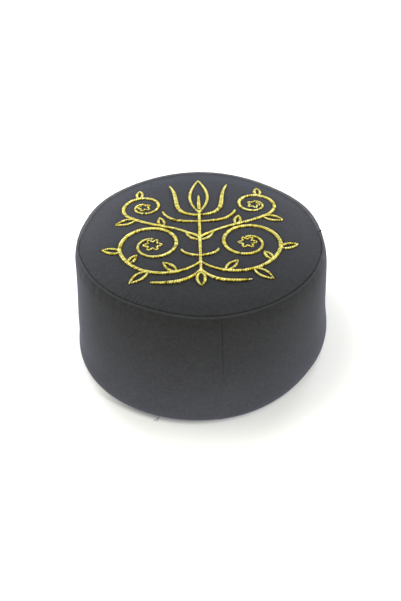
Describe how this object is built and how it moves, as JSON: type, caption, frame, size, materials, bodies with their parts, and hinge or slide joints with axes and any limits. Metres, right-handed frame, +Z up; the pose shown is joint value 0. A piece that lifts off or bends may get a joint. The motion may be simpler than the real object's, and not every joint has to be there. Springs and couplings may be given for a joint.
{
  "type": "stiffened round prayer cap",
  "caption": "Tall, flat-topped round prayer cap of stiffened black cloth, standing on its hem, with a raised gold floral scroll embroidered on the top.",
  "frame": {"origin": "on the floor at the middle of the hem", "axes": "+Z up through the middle of the top, -Y towards the viewer and the upright seam, +X to the viewer's right"},
  "size_m": [0.1918, 0.1917, 0.0965],
  "materials": {
    "black_cloth": "matte fine twill with a faint bluish sheen",
    "gold_thread": "shiny metallic yarn in satin stitch"
  },
  "bodies": {
    "root": {"side_band": "black_cloth", "top_panel": "black_cloth", "gold_embroidery": "gold_thread"}
  },
  "joints": []
}
